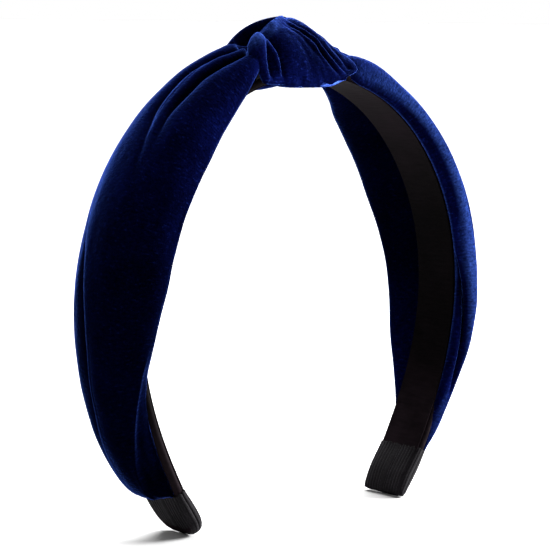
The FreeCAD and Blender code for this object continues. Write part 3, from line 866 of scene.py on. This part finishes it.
def cover_ribbon(name):
    """Satin folded over the strip's outer face and both edges, with its margins on the inner face."""
    s = np.linspace(-HALF_LENGTH, HALF_LENGTH, COVER_ROWS)[:, None]
    radius = (BAND_OUT - COVER_LOW) / 2
    flat = band_half(s) - radius
    turn = np.radians(np.linspace(0.0, 180.0, TURN_POINTS))[None, 1:]
    face = np.linspace(1.0, -1.0, FACE_POINTS)[None, :] * flat
    hem = np.linspace(0.0, COVER_MARGIN, HEM_POINTS)[None, 1:] - flat

    def layer(depth):
        """Margin, edge, face, edge and margin in turn, at a depth inside the cloth."""
        bend = radius - depth
        y = np.hstack([face, -flat - bend * np.sin(turn), hem])
        n = np.hstack([BAND_OUT - depth + 0 * face, COVER_LOW + radius + bend * np.cos(turn) + 0 * s,
                       COVER_LOW + depth + 0 * hem])
        return np.hstack([-y[:, FACE_POINTS:][:, ::-1], y]), np.hstack([n[:, FACE_POINTS:][:, ::-1], n])

    outer_y, outer_n = layer(0.0)
    inner_y, inner_n = layer(COVER_THICKNESS)
    return grid_object(name, at(s, np.hstack([outer_y, inner_y[:, ::-1]]),
                                np.hstack([outer_n, inner_n[:, ::-1]])))


WRAP_AROUND = 460
WRAP_RINGS = 96
TUCK_RINGS = 12
WRAP_HALF = 7.8
RIB_PITCH = 1.1
RIB_DEPTH = (0.11, 0.06)        # left and right tip


def wrap_outline(a, half, deep):
    """Outline of the wound ribbon, flat-sided with rounded edges, at the angle a."""
    y = np.sign(np.cos(a)) * np.abs(np.cos(a)) ** 0.3 * half
    n = np.sign(np.sin(a)) * np.abs(np.sin(a)) ** 0.6 * deep
    return y, n


def end_wrap(name, side):
    """Ribbed ribbon wound round a tip: frayed at its top edge, rounded at its corners, and tucked
    into itself at the end."""
    start, end = HALF_LENGTH - WRAP_LENGTH, HALF_LENGTH + WRAP_OVERHANG
    s = np.concatenate([np.linspace(start, end, WRAP_RINGS), np.full(TUCK_RINGS, end)])[:, None]
    down = (s - start) / (end - start)
    tuck = np.concatenate([np.zeros(WRAP_RINGS), np.linspace(0.0, 1.0, TUCK_RINGS + 1)[1:]])[:, None]
    corner = np.clip((s - (end - TIP_ROUND)) / TIP_ROUND, 0.0, 1.0)
    half = smooth([(0, WRAP_HALF), (1, 7.6)], down)
    half = half - np.where(side < 0, *TIP_CORNERS) * (1 - np.sqrt(1 - corner**2))
    low = smooth([(0, -0.5), (0.3, -1.1), (0.6, -1.5), (0.9, -1.1), (1, -0.6)], down)
    high = smooth([(0, 3.3), (0.5, 3.0), (0.85, 2.3), (1, 1.7)], down)
    mid, deep = (high + low) / 2, (high - low) / 2
    # points round the outline, evenly spaced along the ribbon
    fine = np.linspace(0.0, 2 * math.pi, 4001)
    y_fine, n_fine = wrap_outline(fine, WRAP_HALF, 2.0)
    run = np.concatenate([[0.0], np.cumsum(np.hypot(np.diff(y_fine), np.diff(n_fine)))])
    rib_place = np.linspace(0.0, run[-1], WRAP_AROUND, endpoint=False)[None, :]
    y, n = wrap_outline(np.interp(rib_place, run, fine), half, deep)
    rib_place = rib_place + 0 * s
    pitch = run[-1] / round(run[-1] / RIB_PITCH)
    ribs = np.where(side < 0, *RIB_DEPTH) * (1 - 2 * np.abs(np.sin(math.pi * rib_place / pitch)) ** 6)
    crumple = 0.14 * ripple(s + 0 * y, rib_place, 6.0, 4.0, 101)
    fray = 0.4 * ripple(rib_place, 0 * rib_place, 0.45, 1.0, 103)
    s_edge = s + np.exp(-((s - start) / 0.6) ** 2) * fray
    # the end turns in over the strip's tip, round at first and then flat
    sink = np.sin(np.clip(tuck * 1.5, 0.0, 1.0) * math.pi / 2)
    lip = 0.25 * np.sin(math.pi * np.clip(tuck * 3, 0, 1))
    s_edge = s_edge - 1.6 * np.clip(tuck - 0.3, 0.0, 1.0) + lip
    y, n = y * (1 - 0.25 * sink - 0.6 * tuck), n * (1 - 0.5 * sink - 0.4 * tuck)
    points = at(side * s_edge, y, mid + n)
    relief = (ribs + crumple) * (1 - tuck)
    points = points + row_normals(points) * relief[..., None]
    points[..., 2] -= points[..., 2].min()
    cloth = np.stack([s + 0 * y, rib_place], axis=-1)
    return grid_object(name, points, cloth)


# ---- build ----------------------------------------------------------------------------------
def build_legs():
    for side_name, leg in (("left", LEFT_LEG), ("right", RIGHT_LEG)):
        velvet = build_leg("velvet_leg_of_" + side_name, leg)
        finish_piece(velvet, VELVET, "velvet", "velvet_leg_" + side_name)
        wadding = build_wadding("wadding_of_" + side_name, leg)
        finish_piece(wadding, WADDING, "wadding", "wadding_" + side_name)


def build_knot():
    front_fold = strip_over_crown("knot_front_fold", FRONT_STRIP)
    finish_piece(front_fold, VELVET, "velvet", "knot_wrap")
    back_fold = strip_over_crown("knot_back_fold", BACK_STRIP)
    finish_piece(back_fold, VELVET, "velvet", "knot_back_loop")
    for side_name, low_x, high_x, seed in (("left", -13.0, -0.5, 81), ("right", 0.5, 13.0, 83)):
        strand = bunched_strand("bunched_velvet_" + side_name, low_x, high_x, seed)
        finish_piece(strand, VELVET, "velvet", "knot_strand_" + side_name)


def lining_half(s):
    return np.minimum(LINING_WIDTH / 2, band_half(s) - 0.4)


def plastic_half(s):
    return band_half(s) - PLASTIC_INSET


def build_band():
    cover = cover_ribbon("satin_cover")
    finish_piece(cover, SATIN, "satin_ribbon", "outer_cover_ribbon")
    lining = ribbon_strip("satin_lining", lining_half, 0.0, LINING_THICKNESS, HALF_LENGTH)
    finish_piece(lining, SATIN, "satin_ribbon", "inner_lining_ribbon")
    plastic = ribbon_strip("plastic_strip", plastic_half, *PLASTIC_LEVELS, HALF_LENGTH - PLASTIC_INSET,
                           edge=0.5)
    finish_piece(plastic, PLASTIC, "plastic_strip", "band_core")
    for node in ("glue_strip_left", "glue_strip_right", "glue_spot_knot"):
        repaint(node, GLUE)


def build_wraps():
    for side_name, side in (("left", -1), ("right", 1)):
        wrap = end_wrap("grosgrain_wrap_" + side_name, side)
        finish_piece(wrap, GROSGRAIN, "grosgrain_ribbon", "end_wrap_" + side_name)


build_legs()
build_knot()
build_band()
build_wraps()

# ---- stage, light and camera ----------------------------------------------------------------
def stage():
    floor_mesh = bpy.data.meshes.new("floor")
    half = 30.0
    corners = [(-half, -half, 0.0), (half, -half, 0.0), (half, half, 0.0), (-half, half, 0.0)]
    floor_mesh.from_pydata(corners, [], [(0, 1, 2, 3)])
    floor = bpy.data.objects.new("floor", floor_mesh)
    bpy.context.scene.collection.objects.link(floor)
    m = Nodes("pale_floor")
    m.set(Base_Color=(0.38, 0.38, 0.38, 1.0), Roughness=0.8, Specular_IOR_Level=0.0)
    floor_mesh.materials.append(m.material)


def aimed(name, data, place, target):
    light = bpy.data.objects.new(name, data)
    light.location = place
    aim = Vector(target) - Vector(place)
    light.rotation_euler = aim.to_track_quat("-Z", "Y").to_euler()
    bpy.context.scene.collection.objects.link(light)


def softbox(name, place, target, size, power):
    data = bpy.data.lights.new(name, "AREA")
    data.shape = "DISK"
    data.size = size
    data.energy = power
    aimed(name, data, place, target)


def dim_world():
    """White below the horizon and nearly dark above it, so that only the lights model the folds."""
    world = bpy.data.worlds.new("studio")
    world.use_nodes = True
    tree = world.node_tree
    height = tree.nodes.new("ShaderNodeSeparateXYZ")
    tree.links.new(tree.nodes.new("ShaderNodeTexCoord").outputs["Generated"], height.inputs[0])
    fade = tree.nodes.new("ShaderNodeValToRGB")
    for element, place, grey in zip(fade.color_ramp.elements, (0.01, 0.04), (1.0, 0.10)):
        element.position = place
        element.color = (grey, grey, grey, 1.0)
    tree.links.new(height.outputs["Z"], fade.inputs[0])
    tree.links.new(fade.outputs[0], tree.nodes["Background"].inputs[0])
    return world


def studio():
    scene = bpy.context.scene
    scene.view_settings.view_transform = "Standard"
    scene.world = dim_world()
    overhead = bpy.data.lights.new("overhead", "SUN")
    overhead.energy = 14.5
    overhead.angle = math.radians(50.0)
    aimed("overhead", overhead, (0.56, 0.54, 1.0), (0.0, 0.0, 0.0))
    middle = (0.0, 0.0, 0.07)
    softbox("right_box", (0.68, -0.29, 0.34), middle, 0.4, 45.0)
    softbox("left_box", (-0.6, 0.2, 0.55), middle, 0.35, 2.5)


AZIMUTH = 42.818
ELEVATION = 7.243
ROLL = 0.65
DISTANCE = 0.58889


def camera():
    """Camera at the eye's place, aimed a little off the part's middle, slightly rolled."""
    azimuth, elevation, roll = math.radians(AZIMUTH), math.radians(ELEVATION), math.radians(ROLL)
    forward = Vector((math.sin(azimuth) * math.cos(elevation), math.cos(azimuth) * math.cos(elevation),
                      -math.sin(elevation)))
    level = Vector((math.cos(azimuth), -math.sin(azimuth), 0.0))
    above = level.cross(forward)
    right = level * math.cos(roll) + above * math.sin(roll)
    up = above * math.cos(roll) - level * math.sin(roll)
    middle = Vector((0.0, 0.0, 0.0596))
    eye = middle - forward * DISTANCE
    view = (middle - right * 0.00423 + up * 0.00519 - eye).normalized()
    right = (right - view * right.dot(view)).normalized()
    data = bpy.data.cameras.new("camera")
    data.sensor_width = 36.0
    data.lens = 143.75
    data.clip_start = 0.01
    piece = bpy.data.objects.new("camera", data)
    turn = Matrix((right, right.cross(view), -view)).transposed()
    piece.matrix_world = Matrix.Translation(eye) @ turn.to_4x4()
    bpy.context.scene.collection.objects.link(piece)
    bpy.context.scene.camera = piece


stage()
studio()
camera()
